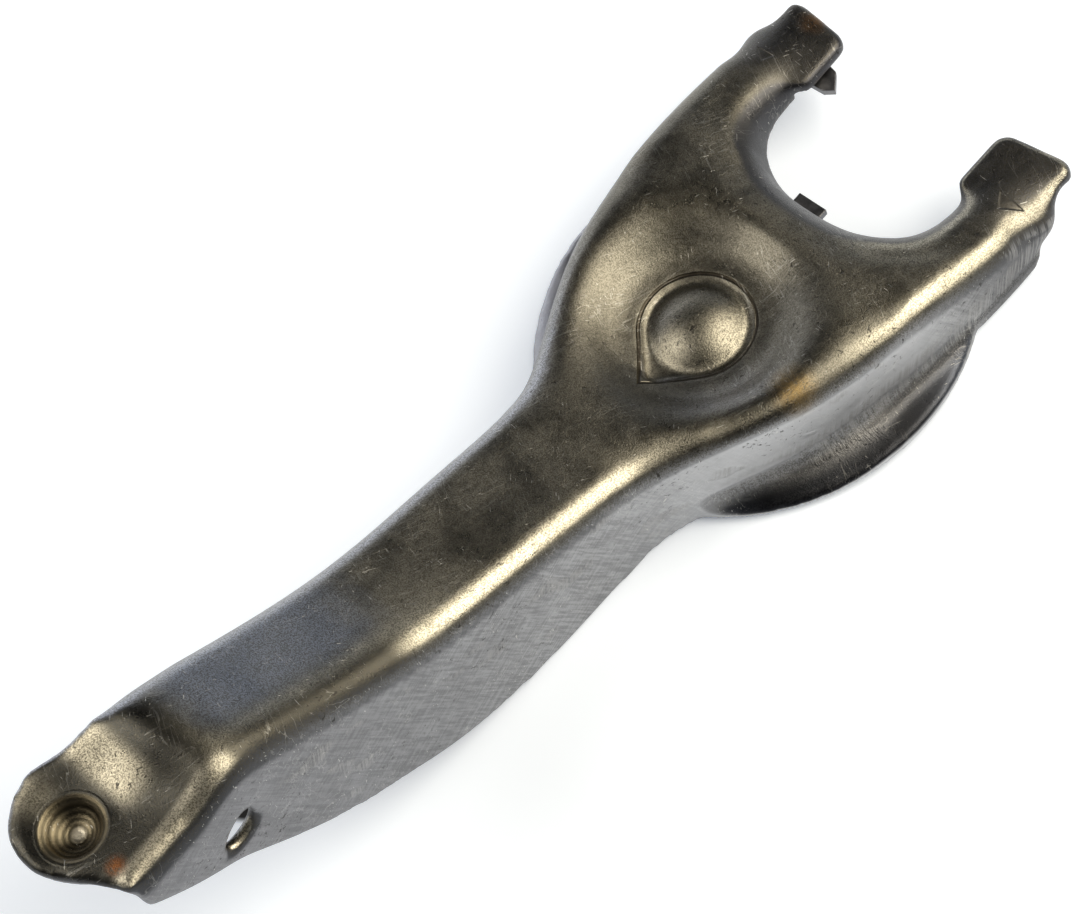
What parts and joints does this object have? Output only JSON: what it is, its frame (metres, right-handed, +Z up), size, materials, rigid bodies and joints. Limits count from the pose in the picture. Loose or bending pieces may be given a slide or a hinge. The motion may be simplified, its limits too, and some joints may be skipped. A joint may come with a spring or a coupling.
{
  "type": "clutch fork",
  "caption": "Stamped steel clutch release fork: deep channel arm with a push-rod seat at one end, a ball-pivot dome mid-way and a U-shaped yoke with flat tips.",
  "frame": {"origin": "middle of the ball-pivot socket", "axes": "+X from the push-rod end to the yoke tips, +Y to the side with no flange at the nose, +Z up as the fork lies on its flange edges"},
  "size_m": [0.289, 0.104, 0.0874],
  "materials": {
    "fork_steel": "as-stamped mill steel with dark patina",
    "spring_steel": "dark oiled spring steel"
  },
  "bodies": {
    "root": {"fork_body": "fork_steel", "retaining_spring": "spring_steel"}
  },
  "joints": []
}
